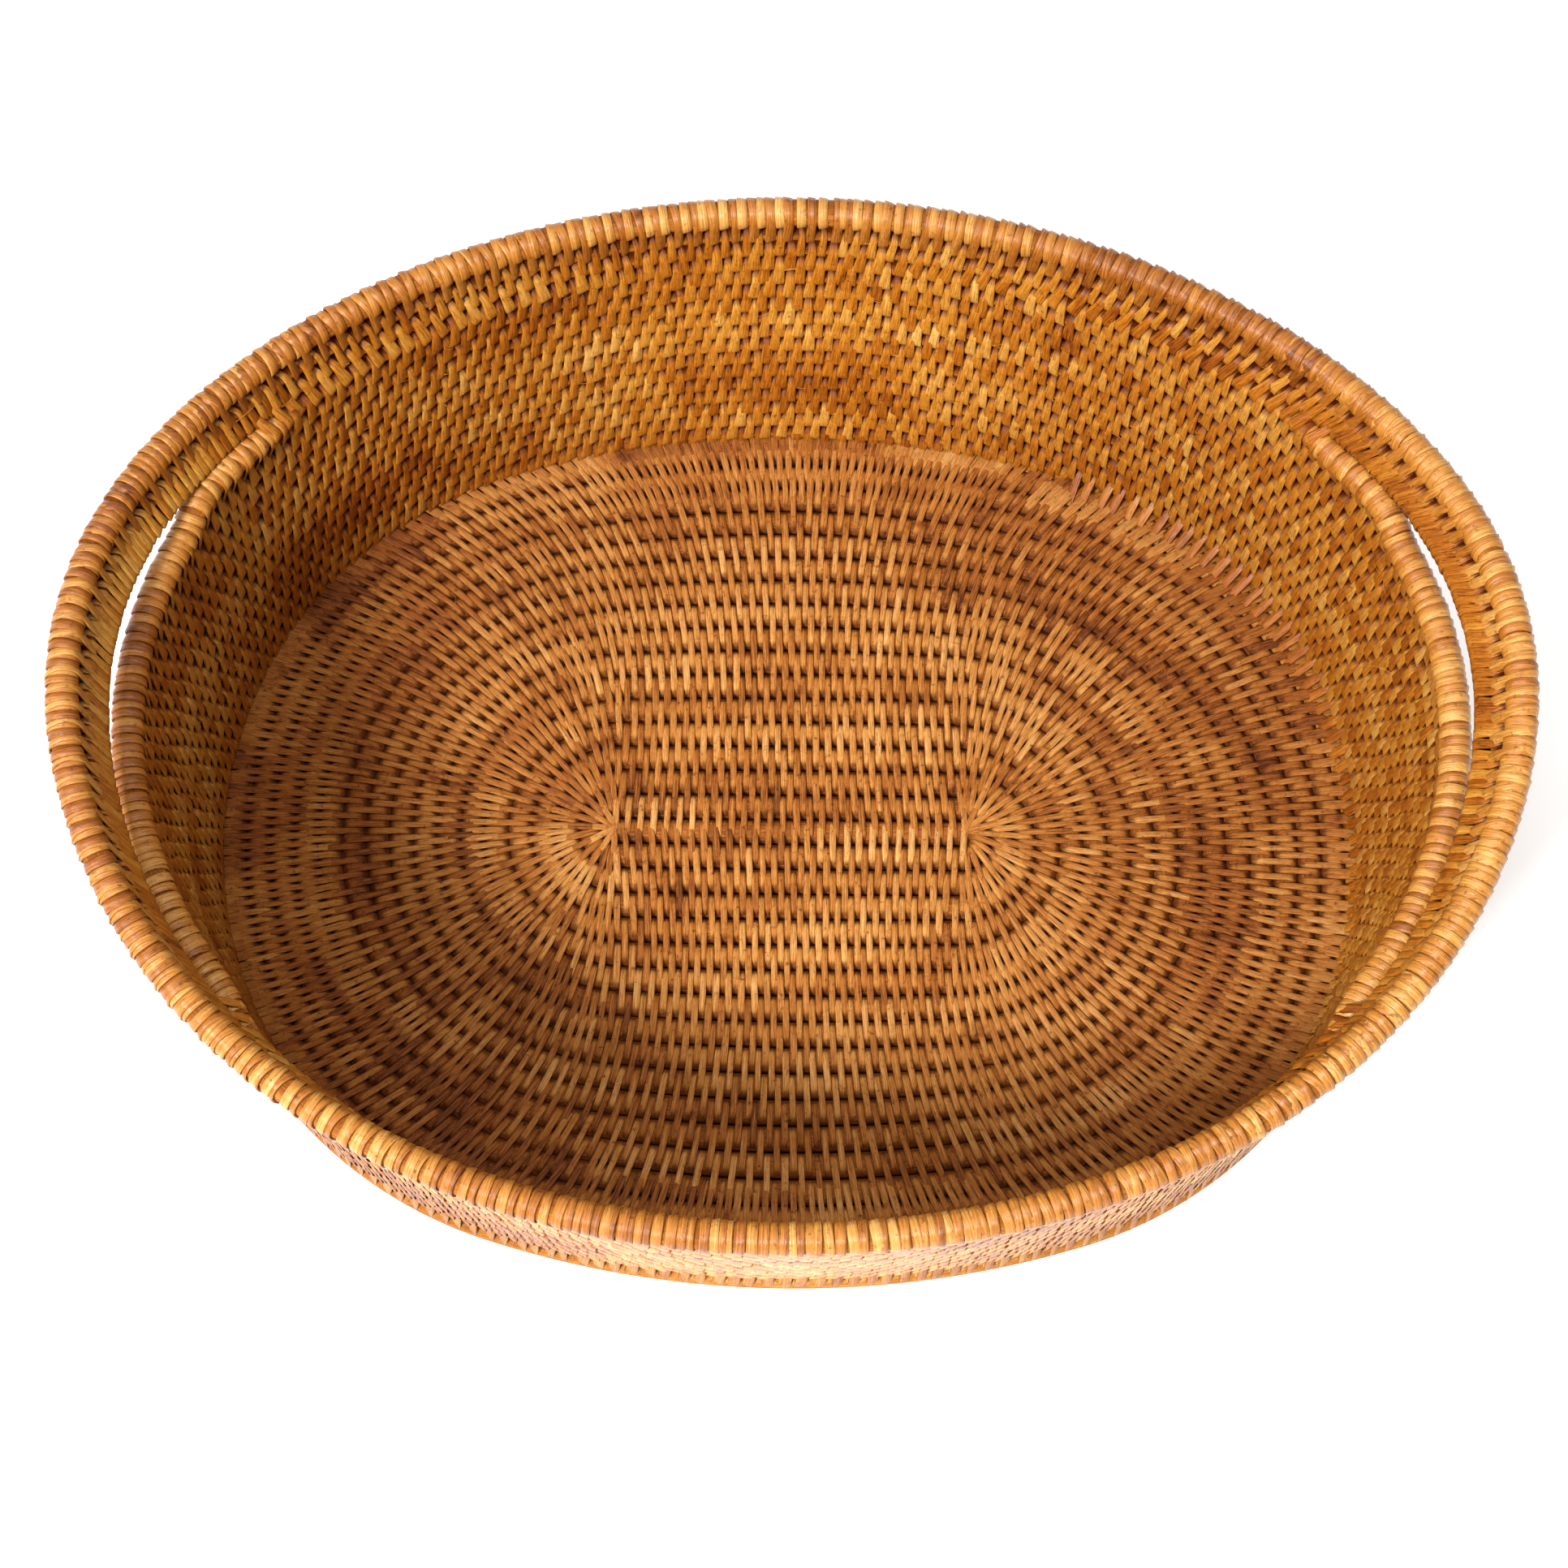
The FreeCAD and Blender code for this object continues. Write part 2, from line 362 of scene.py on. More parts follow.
def sweep_strip(weave, place, facing, width, peel, tone, ident, tilt, pinch, dive, reach, worn=0.0):
    """Peel laid on closed paths: place and facing are strips x points x 3.

    pinch scales the width at each point, dive says how deep the point lies between the rods, and reach is
    how far along the strip it is.
    """
    ahead = np.roll(place, -1, axis=1) - np.roll(place, 1, axis=1)
    across = unit(np.cross(facing, unit(ahead)))
    n, m, _ = place.shape
    w = width[:, None, None] * (pinch[..., None] * SECTION_ACROSS[None, None, :])
    raised = peel[:, None, None] * (SECTION_OUT + tilt[:, None, None] * SECTION_ACROSS)
    grid = (place[:, :, None, :] + across[:, :, None, :] * w[..., None]
            + facing[:, :, None, :] * raised[..., None])
    strip = np.stack(np.broadcast_arrays(reach[..., None], w, ident[:, None, None]), -1)
    weave.add(grid, strip, tone[..., None], dive[..., None], np.asarray(worn)[..., None])


def strand_tones(n, spread=0.10, run=14):
    """Tone of each stitch: neighbours are cut from one length of peel, so they look alike."""
    knots = rng.uniform(0, 1, n // run + 2)
    x = np.arange(n) / run
    i = x.astype(int)
    base = np.where(x - i > 0.8, knots[i] + (knots[i + 1] - knots[i]) * ((x - i) - 0.8) / 0.2, knots[i])
    return np.clip(0.5 + (base - 0.5) * 0.7 + rng.normal(0, spread, n), 0, 1)


def belts(weave, near, far, outward, r_near, r_far, width, peel, lean, pinch=0.8, tilt=0.0, taper=0.0,
          outside_light=0.0, edge=False):
    """Stitches: each is a tight loop of peel round two neighbouring rods.

    pinch narrows a stitch where it dives, taper widens its near end, the outside-light amount paints the side
    away from the basket's inside paler, as painted light, and edge says that the far rod is the last, so
    nothing shades the stitch there.
    """
    n = len(near)
    gap = far - near
    d = np.linalg.norm(gap, axis=1)
    e = gap / d[:, None]
    side = unit(np.cross(outward, e))
    up = np.cross(e, side)
    lift = rng.uniform(0.0, 0.05 if edge else 0.16, n)
    along, out, faces = belt_section(d, np.full(n, r_near) + lift, np.full(n, r_far) + lift)
    level = np.clip(out / np.maximum(np.abs(out).max(1), 1e-6)[:, None], -1, 1)
    share = along / d[:, None]
    lean = (np.broadcast_to(lean, n) + rng.normal(0, 0.12, n))[:, None]
    slant = lean * (np.clip(share, 0, 1) - 0.5) * level
    place = (near[:, None] + e[:, None] * along[..., None] + up[:, None] * out[..., None]
             + side[:, None] * slant[..., None])
    facing = e[:, None] * np.cos(faces)[..., None] + up[:, None] * np.sin(faces)[..., None]
    crest = np.abs(np.sin(faces))
    shape = (pinch + (1 - pinch) * crest ** 0.7) * (1 + taper * (0.5 - share) * (level > 0))
    widths = width * rng.uniform(0.88, 1.1, n)
    dive = (1 - crest) * (along < 0.8 * d[:, None]) if edge else 1 - crest
    outside = along > d[:, None] if edge else level < 0
    # painted light: the side away from the basket's inside takes a paler tone
    tone = strand_tones(n)[:, None] + outside_light * outside
    sweep_strip(weave, place, facing, widths, peel * rng.uniform(0.8, 1.25, n), tone,
                rng.uniform(0, 100, n), tilt + rng.normal(0, 0.16, n), shape, dive, along,
                worn=np.exp(-((share - 0.5) / 0.42) ** 2) * (level > 0))


def loops(weave, centre, run, outward, radius, width, peel, lean, tilt):
    """Wraps: each is a closed loop of peel round one rod."""
    n = len(centre)
    side = unit(run)
    up = unit(outward - side * np.sum(outward * side, 1, keepdims=True))
    e = np.cross(side, up)
    turn = np.linspace(0, 2 * np.pi, 21)[:-1][None, :] * np.ones((n, 1))
    r = (radius + rng.uniform(0, 0.05, n))[:, None]
    slant = (np.broadcast_to(lean, n) + rng.normal(0, 0.1, n))[:, None] * np.cos(turn) * 0.5
    facing = e[:, None] * np.cos(turn)[..., None] + up[:, None] * np.sin(turn)[..., None]
    place = centre[:, None] + facing * r[..., None] + side[:, None] * slant[..., None]
    sweep_strip(weave, place, facing, width * rng.uniform(0.92, 1.08, n), peel * rng.uniform(0.85, 1.15, n),
                strand_tones(n)[:, None], rng.uniform(0, 100, n), rng.normal(0, 0.12, n) - tilt,
                np.ones_like(turn), np.zeros_like(turn), r * np.sin(turn))


def wraps(weave, point_at, angles, radius, width, lean):
    """Close wrapping of a roll, at angles along its centre line."""
    centre = point_at(angles)
    run = point_at(angles + 0.2) - point_at(angles - 0.2)
    loops(weave, centre, run, inward_at(centre), radius, width, RIM_PEEL, lean, WRAP_TILT)


def rod(weave, path, radius, closed, spread=1.0, upright=True, shade_and_dirt=1.0, tone=0.5):
    """A bare rod along a path of points. Radius is a number or one per point; spread widens it level.

    upright says that the rows beside it stand above and below it, as in the wall. The amount of painted shade
    and soiling where the rod meets its neighbours, and tone, are a number or one per point.
    """
    path = np.asarray(path, float)
    ahead = np.roll(path, -1, 0) - np.roll(path, 1, 0)
    if not closed:
        ahead[0] = path[1] - path[0]
        ahead[-1] = path[-1] - path[-2]
    ahead = unit(ahead)
    level = unit(np.cross(ahead, UP))
    up = np.cross(level, ahead)
    turn = np.linspace(0, 2 * np.pi, ROD_SIDES, endpoint=False)
    radius = np.broadcast_to(radius, len(path))[:, None, None]
    grid = path[:, None] + radius * (level[:, None] * spread * np.cos(turn)[None, :, None]
                                     + up[:, None] * np.sin(turn)[None, :, None])
    strip = np.stack(np.broadcast_arrays(run_length(path)[:, None], 4.0 * np.cos(turn)[None, :], 50.0), -1)
    # dive carries the painted shade and soiling where the rod meets its neighbours
    dive = np.abs(np.sin(turn)) if upright else 1 - np.abs(np.sin(turn))
    dive = dive ** 2 * np.broadcast_to(shade_and_dirt, len(path))[:, None]
    tone = np.broadcast_to(tone, len(path))[:, None]
    weave.add(grid[None], strip[None], tone[None], dive[None], closed_path=closed)


# ------------------------------------------------------------------ materials


WHITE = (1.0, 1.0, 1.0)


class Nodes:
    """Short names for building a node material."""

    def __init__(self, name):
        self.material = bpy.data.materials.new(name)
        self.material.use_nodes = True
        self.tree = self.material.node_tree
        self.shader = self.tree.nodes["Principled BSDF"]

    def new(self, kind, **settings):
        node = self.tree.nodes.new(kind)
        for key, value in settings.items():
            setattr(node, key, value)
        return node

    def link(self, a, b):
        self.tree.links.new(a, b)

    def attribute(self, name, output="Fac"):
        return self.new("ShaderNodeAttribute", attribute_name=name).outputs[output]

    def math(self, operation, a, b=0.0, clamp=False):
        node = self.new("ShaderNodeMath", operation=operation, use_clamp=clamp)
        for socket, value in zip(node.inputs, (a, b)):
            if hasattr(value, "is_output"):
                self.link(value, socket)
            else:
                socket.default_value = value
        return node.outputs[0]

    def stretch(self, vector, scale):
        node = self.new("ShaderNodeVectorMath", operation="MULTIPLY")
        self.link(vector, node.inputs[0])
        node.inputs[1].default_value = scale
        return node.outputs[0]

    def noise(self, vector, scale, detail=3.0, roughness=0.55):
        node = self.new("ShaderNodeTexNoise")
        self.link(vector, node.inputs["Vector"])
        node.inputs["Scale"].default_value = scale
        node.inputs["Detail"].default_value = detail
        node.inputs["Roughness"].default_value = roughness
        return node.outputs["Fac"]

    def ramp(self, value, stops):
        node = self.new("ShaderNodeValToRGB")
        self.link(value, node.inputs[0])
        ramp = node.color_ramp
        while len(ramp.elements) < len(stops):
            ramp.elements.new(0.5)
        for element, (place, colour) in zip(ramp.elements, stops):
            element.position = place
            element.color = (*colour, 1.0)
        return node.outputs[0]

    def mix(self, kind, amount, a, b):
        node = self.new("ShaderNodeMix", data_type="RGBA", blend_type=kind)
        for socket, value in ((node.inputs[0], amount), (node.inputs[6], a), (node.inputs[7], b)):
            if hasattr(value, "is_output"):
                self.link(value, socket)
            elif isinstance(value, tuple):
                socket.default_value = (*value, 1.0)
            else:
                socket.default_value = value
        return node.outputs[2]


def peel_material(name, colours, shade_and_dirt, roughness, gloss_spread, bump, wear, gloss, worn=WHITE):
    """Split rattan: lengthwise fibres, a tone per strip, brown blotches, and painted shade and soiling in the
    valleys.

    colours run from darkest to palest, the valley colour tints the valleys with painted shade and soiling,
    worn tints the crests, and wear is the share of the blotches.
    """
    m = Nodes(name)
    strip = m.attribute("strip", "Vector")
    fibre = m.noise(m.stretch(strip, (0.10, 2.2, 1.0)), 1.0, 5.0, 0.7)
    grain = m.noise(m.stretch(strip, (0.30, 7.0, 1.0)), 1.0, 3.0, 0.6)
    place = m.new("ShaderNodeTexCoord").outputs["Object"]
    broad = m.noise(place, 14.0, 2.0, 0.5)
    patch = m.noise(place, 75.0, 4.0, 0.65)
    freckle = m.noise(place, 520.0, 4.0, 0.7)
    tone = m.math("MULTIPLY", m.math("SUBTRACT", m.attribute("tone"), 0.5), 0.55)
    for wave, share in ((fibre, 1.3), (patch, 0.45), (broad, 0.3)):
        tone = m.math("ADD", tone, m.math("MULTIPLY", m.math("SUBTRACT", wave, 0.5), share))
    tone = m.math("ADD", tone, 0.5)
    colour = m.ramp(tone, list(zip((0.08, 0.36, 0.60, 0.92), colours)))
    streak = m.ramp(grain, [(0.36, (0.42, 0.33, 0.25)), (0.50, WHITE), (0.66, (1.12, 1.12, 1.10))])
    colour = m.mix("MULTIPLY", 0.75, colour, streak)
    stain = m.ramp(freckle, [(0.30, (0.30, 0.18, 0.11)), (0.42, WHITE)])
    colour = m.mix("MULTIPLY", wear, colour, stain)
    age = m.ramp(patch, [(0.26, (0.50, 0.33, 0.22)), (0.38, WHITE)])
    colour = m.mix("MULTIPLY", wear, colour, age)
    half_shade_and_dirt = tuple(0.35 + 0.65 * c for c in shade_and_dirt)
    rubbed = m.math("MULTIPLY", m.attribute("worn"), m.math("ADD", m.math("MULTIPLY", patch, 0.9), 0.2), True)
    colour = m.mix("MIX", rubbed, colour, m.mix("MULTIPLY", 1.0, colour, worn))
    # painted shade and soiling: the deeper a point dives between the rods, the more it takes the valley
    # colour
    depth = m.ramp(m.attribute("dive"), [(0.05, WHITE), (0.26, half_shade_and_dirt), (0.75, shade_and_dirt)])
    colour = m.mix("MULTIPLY", 1.0, colour, depth)
    # painted shade: a dark brown mixed in by the amount the mesh holds for each point
    colour = m.mix("MULTIPLY", m.attribute("painted_shade"), colour, (0.50, 0.35, 0.14))
    m.link(colour, m.shader.inputs["Base Color"])
    rough = m.math("ADD", roughness, m.math("MULTIPLY", m.math("SUBTRACT", grain, 0.5), gloss_spread), True)
    dull = m.math("MULTIPLY", m.attribute("dive"), 0.5)
    m.link(m.math("ADD", rough, dull, True), m.shader.inputs["Roughness"])
    shine = m.math("SUBTRACT", gloss, m.math("MULTIPLY", dull, 1.8 * gloss))
    m.link(shine, m.shader.inputs["Specular IOR Level"])
    relief = m.math("ADD", fibre, m.math("MULTIPLY", grain, 0.6))
    node = m.new("ShaderNodeBump")
    node.inputs["Strength"].default_value = bump
    node.inputs["Distance"].default_value = 0.0004
    m.link(relief, node.inputs["Height"])
    m.link(node.outputs[0], m.shader.inputs["Normal"])
    return m.material


def srgb(r, g, b):
    """Linear colour from 0-255 screen values."""
    return tuple(((c / 255 + 0.055) / 1.055) ** 2.4 if c > 10 else c / 255 / 12.92 for c in (r, g, b))


# each material's valley colour tints the valleys with painted shade and soiling
FLOOR_PEEL_MATERIAL = peel_material(
    "floor_peel", colours=[srgb(92, 44, 8), srgb(164, 96, 32), srgb(192, 128, 56), srgb(222, 168, 96)],
    shade_and_dirt=(0.24, 0.12, 0.035), roughness=0.6, gloss_spread=0.4, bump=1.0, wear=0.9, gloss=0.22,
    worn=(0.95, 1.0, 1.3))
WALL_PEEL_MATERIAL = peel_material(
    "wall_peel", colours=[srgb(118, 54, 6), srgb(180, 106, 22), srgb(204, 142, 50), srgb(232, 192, 110)],
    shade_and_dirt=(0.36, 0.19, 0.07), roughness=0.34, gloss_spread=0.4, bump=0.6, wear=0.8, gloss=0.45)
RIM_PEEL_MATERIAL = peel_material(
    "rim_peel", colours=[srgb(118, 60, 14), srgb(174, 106, 34), srgb(200, 138, 58), srgb(230, 186, 110)],
    shade_and_dirt=(0.5, 0.34, 0.22), roughness=0.34, gloss_spread=0.35, bump=0.5, wear=0.8, gloss=0.45)
ROD_MATERIAL = peel_material(
    "rod", colours=[srgb(104, 54, 12), srgb(160, 92, 28), srgb(186, 118, 44), srgb(204, 144, 70)],
    shade_and_dirt=(0.22, 0.11, 0.035), roughness=0.65, gloss_spread=0.3, bump=0.8, wear=0.6, gloss=0.2)


# ------------------------------------------------------------------ floor

floor_q = np.concatenate([np.linspace(-1, 0, 60, endpoint=False),
                          np.arange(0, FLOOR_END + FLOOR_TAIL + 0.2, 0.004)])
floor_run = run_length(floor_point(floor_q))


def floor_run_at(q):
    """Distance along the floor spiral, in mm."""
    return np.interp(q, floor_q, floor_run)


def floor_q_at(run):
    """Place on the floor spiral, in quarter turns, after a distance in mm."""
    return np.interp(run, floor_run, floor_q)


def floor_stitches():
    """Places of the stitches along the spiral: each sits between two stitches of the turn inside."""
    first = np.arange(floor_run_at(1.0), floor_run_at(1.0 + QUARTERS), FLOOR_STITCH_PITCH)
    places = list(floor_q_at(first))
    i = 0
    while True:
        q = 0.5 * (places[i] + places[i + 1]) + QUARTERS
        i += 1
        if q > FLOOR_END + FLOOR_TAIL:
            break
        if q <= places[-1]:
            continue
        gap = floor_run_at(q) - floor_run_at(places[-1])
        if gap < 0.72 * FLOOR_STITCH_PITCH:
            continue
        if gap > 1.38 * FLOOR_STITCH_PITCH:
            places.append(0.5 * (q + places[-1]))
        places.append(q)
    places = np.array(places)
    return floor_q_at(floor_run_at(places) + rng.normal(0, 0.16, len(places)))


def floor_weave():
    """The stitches of the floor, in three rings, and those of the foot."""
    places = floor_stitches()
    outer = floor_point(places)
    inner = floor_point(inner_q(places))
    apart = np.linalg.norm(outer - inner, axis=1) > 2.0
    ring = np.minimum((places / FLOOR_END * 3).astype(int), 2)
    ring = np.where(places > FLOOR_END - QUARTERS, 3, ring)
    objects = []
    for part in range(4):
        foot = part == 3
        pick = apart & (ring == part)
        weave = Weave()
        belts(weave, inner[pick], outer[pick], np.tile(UP, (pick.sum(), 1)), FLOOR_ROD, FLOOR_ROD,
              FOOT_STITCH if foot else FLOOR_STITCH, FLOOR_PEEL, FLOOR_LEAN,
              pinch=0.9 if foot else 0.8, outside_light=FLOOR_OUTSIDE_LIGHT, edge=foot)
        objects.append(weave.mesh("floor_stitches_%d" % (part + 1), FLOOR_PEEL_MATERIAL))
    return objects


def whole_floor_rod():
    """The rod of the floor, from its straight start to where it thins out under the wall."""
    turns = floor_q_at(np.arange(floor_run_at(0.0), floor_run_at(FLOOR_END), 3.0))
    tail = np.linspace(FLOOR_END, FLOOR_END + FLOOR_TAIL, 40)[1:]
    q = np.concatenate([np.linspace(-1, 0, 25, endpoint=False), turns, tail])
    thinning = 1 - 0.7 * np.clip((q - FLOOR_END) / FLOOR_TAIL, 0, 1) ** 2
    on_foot = q > FLOOR_END - QUARTERS
    weave = Weave()
    # the floor rod takes the darkest tone, painted shade in the gaps between the stitches; the rod of the
    # foot takes the palest tone and neither painted shade nor soiling in its valleys
    rod(weave, floor_point(q), FLOOR_ROD * thinning, False, spread=FLOOR_ROD_SPREAD, upright=False,
        shade_and_dirt=np.where(on_foot, 0.0, 1.0), tone=np.where(on_foot, 1.0, 0.05))
    return weave.mesh("floor_rod", ROD_MATERIAL)


# ------------------------------------------------------------------ wall


def inward_at(points):
    """Roughly towards the inside of the basket."""
    return unit(points * [-1.0, -1.0, 0.0])


def stitch_angles():
    """Even spacing by arc length on a middle row, a little closer at the front."""
    fine = np.linspace(0, 360, 3601)
    step = np.linalg.norm(np.diff(row_point(8, fine), axis=0), axis=1)
    weight = 1.0 - 0.05 * np.sin(np.radians(fine[:-1]))
    run = np.concatenate([[0], np.cumsum(step * weight)])
    return np.interp(np.arange(WALL_STITCHES) / WALL_STITCHES * run[-1], run, fine)


def between(angles):
    """Angles half-way to the next stitch."""
    return 0.5 * (angles + np.append(angles[1:], angles[0] + 360))


def next_angles(angles):
    """The stitches of the next row up sit between those of this row."""
    return between(angles) + rng.normal(0, 0.035, len(angles)) * 360 / WALL_STITCHES * 2


def stitched_rows():
    """Angles of the stitches that start from each row."""
    angles = {1: stitch_angles()}
    for row in range(2, RIM_ROW + 2):
        angles[row] = next_angles(angles[row - 1])
    return angles


def nearest_foot(points):
    """Nearest points of the outermost floor coil."""
    foot = floor_point(np.linspace(FLOOR_END - QUARTERS, FLOOR_END, 1600))
    return np.array([foot[np.argmin(((foot[:, :2] - p[:2]) ** 2).sum(1))] for p in points])


def handle_share(angles):
    """1 in the middle of a handle, falling to 0 along the sides."""
    return np.clip(1.3 - away_from_end(angles) / HANDLE_ROLL_ANGLE, 0, 1)


def band_lean(angles):
    """Stitches of the band lean over where it forms a handle."""
    return WALL_LEAN - 1.8 * handle_share(angles)


def band_face(angles, points):
    """The band turns its face up where it forms a handle."""
    return unit(inward_at(points) + handle_share(angles)[:, None] * [0.0, 0.0, 0.6])


def stitch_wall_row(weave, row):
    """Stitches from a row to the one above; row 0 is the foot."""
    if row == 0:
        angles = next_angles(row_angles[1] - 360 / WALL_STITCHES)
        far = row_point(1, angles)
        belts(weave, nearest_foot(far), far, inward_at(far), FLOOR_ROD, WALL_ROD, WALL_STITCH, WALL_PEEL,
              WALL_LEAN, outside_light=WALL_OUTSIDE_LIGHT)
        return
    angles = row_angles[row]
    far = row_point(row + 1, angles)
    belts(weave, row_point(row, angles), far, inward_at(far), WALL_ROD, WALL_ROD, WALL_STITCH, WALL_PEEL,
          WALL_LEAN, **WALL_LAY)


def wall_weave():
    """The stitches of the wall up to row 13, in three heights."""
    objects = []
    for name, first, stop in (("low", 0, 5), ("middle", 5, 10), ("high", 10, WALL_ROWS)):
        weave = Weave()
        for row in range(first, stop):
            stitch_wall_row(weave, row)
        objects.append(weave.mesh("wall_stitches_" + name, WALL_PEEL_MATERIAL))
    return objects


def band_weave():
    """The stitches beside and over the hand openings, with one more in each gap over an opening."""
    weave = Weave()
    angles = row_angles[WALL_ROWS]
    angles = angles[tip(angles) >= 0.5]
    far = end_rim_point(angles)
    belts(weave, row_point(WALL_ROWS, angles), far, inward_at(far), WALL_ROD, end_rim_radius(angles),
          WALL_STITCH, WALL_PEEL, WALL_LEAN, **WALL_LAY)
    angles = row_angles[END_RIM_ROW]
    angles = angles[tip(angles) > 0.3]
    far = row_point(BAND_LOW, angles)
    belts(weave, end_rim_point(angles), far, inward_at(far), end_rim_radius(angles), WALL_ROD,
          WALL_STITCH, WALL_PEEL, WALL_LEAN, **WALL_LAY)
    angles = row_angles[BAND_LOW]
    more = between(angles)
    angles = np.concatenate([angles, more[away_from_end(more) < HANDLE_HALF_ANGLE]])
    far = row_point(BAND_HIGH, angles)
    belts(weave, row_point(BAND_LOW, angles), far, band_face(angles, far), WALL_ROD, WALL_ROD, BAND_STITCH,
          WALL_PEEL, band_lean(angles), **WALL_LAY)
    return weave.mesh("band_stitches", WALL_PEEL_MATERIAL)


def whole_wall_rods():
    """The rods of the wall and the band."""
    weave = Weave()
    for row in FULL_ROWS:
        rod(weave, row_point(row, ALL_ROUND), WALL_ROD, True)
    for middle in (90, 270):
        rod(weave, row_point(END_RIM_ROW, np.linspace(middle - 54, middle + 54, 90)), WALL_ROD, False)
    return weave.mesh("wall_rods", ROD_MATERIAL)


# ------------------------------------------------------------------ rim and end rims


def rim_weave():
    """The wrapping of the rim: in turn down over the band and round the rim only, closer at the handles."""
    weave = Weave()
    angles = row_angles[BAND_HIGH]
    far = rim_point(angles)
    belts(weave, row_point(BAND_HIGH, angles), far, band_face(angles, far), WALL_ROD, RIM_ROD, RIM_BELT,
          RIM_PEEL, 0.8 * band_lean(angles), **RIM_LAY)
    wraps(weave, rim_point, row_angles[RIM_ROW], RIM_ROD, RIM_WRAP, 0.5)
    wraps(weave, rim_point, angles[away_from_end(angles) < 45], RIM_ROD - 0.15, RIM_WRAP, 0.5)
    return weave.mesh("rim_wraps", RIM_PEEL_MATERIAL)


def whole_rim_rods():
    """The rods inside the rim and the end rims."""
    weave = Weave()
    rod(weave, rim_point(ALL_ROUND), RIM_ROD - 0.1, True, shade_and_dirt=0.2)
    for middle in (0, 180):
        angles = np.linspace(middle - 41, middle + 41, 100)
        rod(weave, end_rim_point(angles), end_rim_radius(angles) - 0.1, False, shade_and_dirt=0.2)
    return weave.mesh("rim_rods", ROD_MATERIAL)


def end_rim_weave():
    """The wrapping of the two end rims: in turn down over row 13 and round the rim only."""
    weave = Weave()
    angles = row_angles[WALL_ROWS]
    angles = angles[tip(angles) < 0.5]
    far = end_rim_point(angles)
    belts(weave, row_point(WALL_ROWS, angles), far, inward_at(far), WALL_ROD, end_rim_radius(angles),
          RIM_BELT, RIM_PEEL, WALL_LEAN, **RIM_LAY)
    angles = row_angles[END_RIM_ROW]
    angles = angles[tip(angles) < 0.8]
    wraps(weave, end_rim_point, angles, end_rim_radius(angles), RIM_BELT, 0.3)
    return weave.mesh("end_rim_wraps", RIM_PEEL_MATERIAL)


# ------------------------------------------------------------------ loose fibres


def frays(weave, base, outward, ahead, length):
    """Fine fibres that have split off the peel: three-sided hairs, thinning to their ends."""
    n = len(base)
    t = np.linspace(0, 1, 7)[None, :, None]
    aim = unit(ahead * rng.normal(0, 1, (n, 1)) + outward * rng.uniform(0.1, 0.7, (n, 1))
               + rng.normal(0, 0.5, (n, 3)))
    curl = rng.normal(0, 0.35, (n, 3)) - 0.25 * outward
    length = length[:, None, None]
    line = base[:, None] + aim[:, None] * t * length + curl[:, None] * t ** 2 * length
    side = unit(np.cross(aim, outward))
    over = np.cross(side, aim)
    turn = np.radians([90.0, 210.0, 330.0])
    ring = side[:, None] * np.cos(turn)[None, :, None] + over[:, None] * np.sin(turn)[None, :, None]
    grid = line[:, :, None] + ring[:, None] * (0.16 * (1 - 0.7 * t))[..., None]
    weave.add(grid, np.stack(np.broadcast_arrays(t * length, 0.0 * t, 7.0 + 0.0 * length), -1),
              rng.uniform(0.1, 0.9, n)[:, None, None], 0.0, closed_path=False)


def loose_hairs():
    """Fibres that stand off the wall and the floor here and there."""
    weave = Weave()
    for row in range(2, RIM_ROW):
        angles = rng.uniform(0, 360, 14)
        base = row_point(row, angles)
        outward = inward_at(base)
        ahead = row_point(row, angles + 1) - base
        frays(weave, base + outward * 3.9, outward, ahead, rng.uniform(3, 8, 14))
    places = floor_q_at(rng.uniform(0, floor_run_at(FLOOR_END - 3), 90))
    base = floor_point(places)
    ahead = floor_point(places + 0.01) - base
    frays(weave, base + [0, 0, 4.2], np.tile(UP, (90, 1)), ahead, rng.uniform(3, 7, 90))
    return weave.mesh("loose_fibres", WALL_PEEL_MATERIAL)


# ------------------------------------------------------------------ the pieces, and what each stands for

floor_objects = floor_weave() + [whole_floor_rod()]
row_angles = stitched_rows()
wall_objects = wall_weave() + [band_weave(), whole_wall_rods()]
rim_wraps = rim_weave()
rim_rods = whole_rim_rods()
end_wraps = end_rim_weave()
wall_objects.append(loose_hairs())

floor_nodes = ["floor_spine"] + ["floor_coil_%02d" % turn for turn in range(1, FLOOR_TURNS + 1)]
wall_nodes = ["wall_coil_%02d" % row for row in FULL_ROWS] + ["wall_coil_14_back", "wall_coil_14_front"]
for obj in floor_objects:
    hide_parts(*floor_nodes)
for obj in wall_objects:
    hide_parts(*wall_nodes)
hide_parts("handle_wrap_left", "handle_wrap_right", "rim_wrap_back", "rim_wrap_front")
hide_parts("end_rim_wrap_left", "end_rim_wrap_right")
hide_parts("rim_core", "end_rim_core_left", "end_rim_core_right")
for obj in floor_objects + wall_objects + [rim_wraps, end_wraps, rim_rods]:
    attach(obj, "root")

# ------------------------------------------------------------------ studio, in metres

GROUND_GREY = 0.88
GROUND_GLOW = 0.22
WORLD_LIGHT = 0.58
KEY_LIGHT = dict(place=(-0.9, -1.15, 1.6), aim=(0, 0, 0.05), size=0.5, watts=74.0, colour=(1.0, 0.98, 0.95))
TOP_LIGHT = dict(place=(0.0, -0.1, 2.2), aim=(0, 0, 0), size=1.0, watts=22.0, colour=(1, 1, 1))
LENS = 73.0
CAMERA_TARGET = Vector((-0.0022, 0.0181, 0.0055))
CAMERA_ELEVATION = math.radians(69.0)
CAMERA_DISTANCE = 1.119
CAMERA_ROLL = math.radians(0.57)


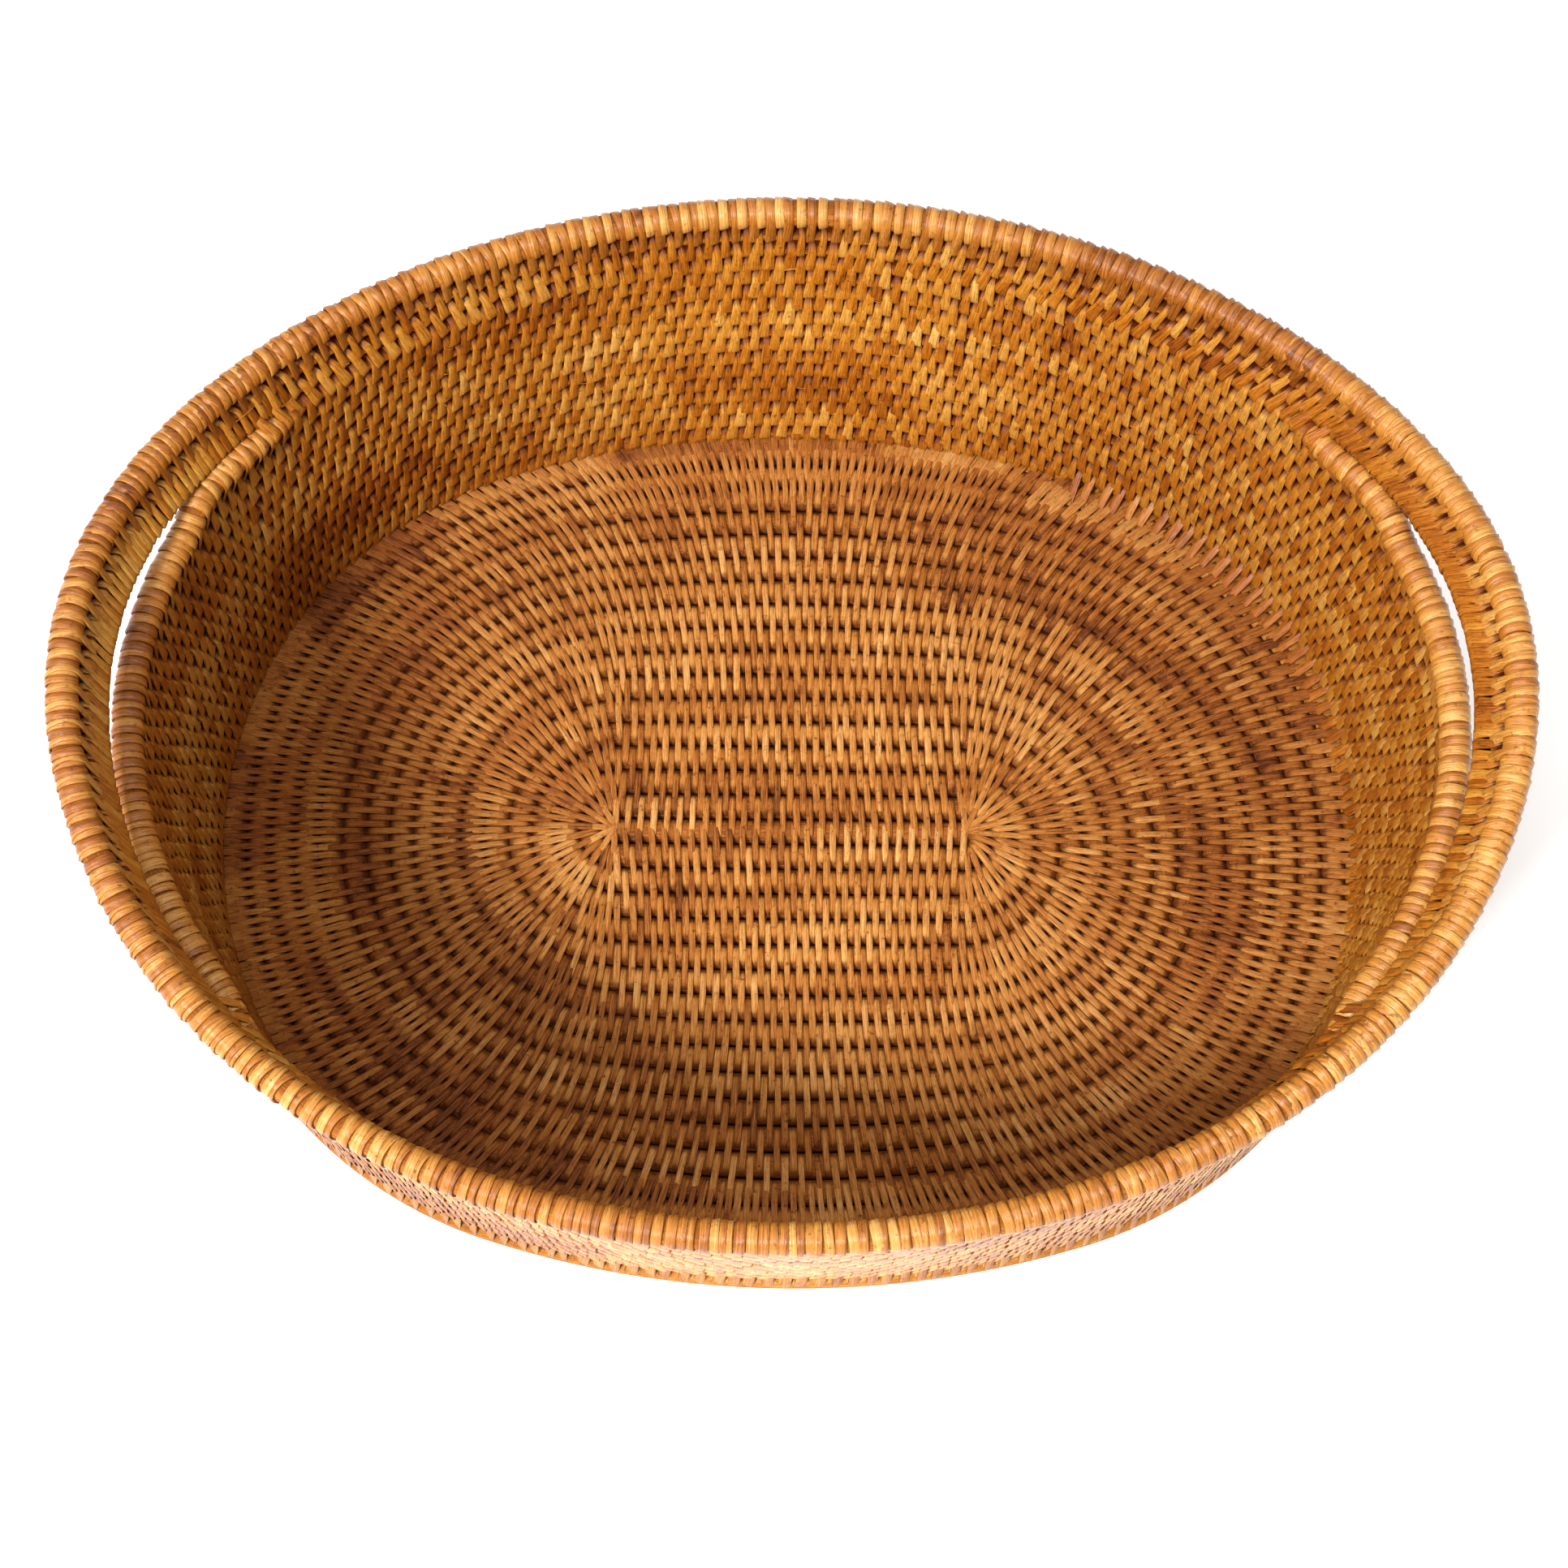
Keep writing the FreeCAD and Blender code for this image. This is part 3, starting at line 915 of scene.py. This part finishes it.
def studio_ground():
    """Pale floor that glows a little, so that it comes out white."""
    bpy.ops.mesh.primitive_plane_add(size=12.0, location=(0, 0, 0))
    ground = bpy.context.object
    ground.name = "studio_floor"
    m = Nodes("studio_floor")
    m.shader.inputs["Base Color"].default_value = (GROUND_GREY, GROUND_GREY, GROUND_GREY, 1)
    m.shader.inputs["Roughness"].default_value = 0.9
    m.shader.inputs["Emission Color"].default_value = (1, 1, 1, 1)
    m.shader.inputs["Emission Strength"].default_value = GROUND_GLOW
    ground.data.materials.append(m.material)
    return ground


def area_light(name, place, aim, size, watts, colour):
    """Round soft light at a place, turned to its aim."""
    light = bpy.data.lights.new(name, "AREA")
    light.shape = "DISK"
    light.size = size
    light.energy = watts
    light.color = colour
    obj = bpy.data.objects.new(name, light)
    obj.location = place
    obj.rotation_euler = (Vector(aim) - Vector(place)).to_track_quat("-Z", "Y").to_euler()
    bpy.context.scene.collection.objects.link(obj)


def studio_world():
    """Even light from all round."""
    world = bpy.data.worlds.new("studio")
    world.use_nodes = True
    background = world.node_tree.nodes["Background"]
    background.inputs[0].default_value = (1.0, 0.99, 0.97, 1)
    background.inputs[1].default_value = WORLD_LIGHT
    bpy.context.scene.world = world


def add_camera():
    """Camera in front of the basket, high up."""
    data = bpy.data.cameras.new("camera")
    data.sensor_width = 36.0
    data.lens = LENS
    data.clip_start = 0.05
    obj = bpy.data.objects.new("camera", data)
    back = Vector((0, -math.cos(CAMERA_ELEVATION), math.sin(CAMERA_ELEVATION)))
    obj.location = CAMERA_TARGET + back * CAMERA_DISTANCE
    look = (CAMERA_TARGET - obj.location).to_track_quat("-Z", "Y")
    obj.rotation_mode = "QUATERNION"
    obj.rotation_quaternion = look @ Quaternion(Vector((0, 0, 1)), CAMERA_ROLL)
    bpy.context.scene.collection.objects.link(obj)
    bpy.context.scene.camera = obj


studio_ground()
area_light("key", **KEY_LIGHT)
area_light("top", **TOP_LIGHT)
studio_world()
add_camera()
bpy.context.scene.view_settings.view_transform = "Standard"
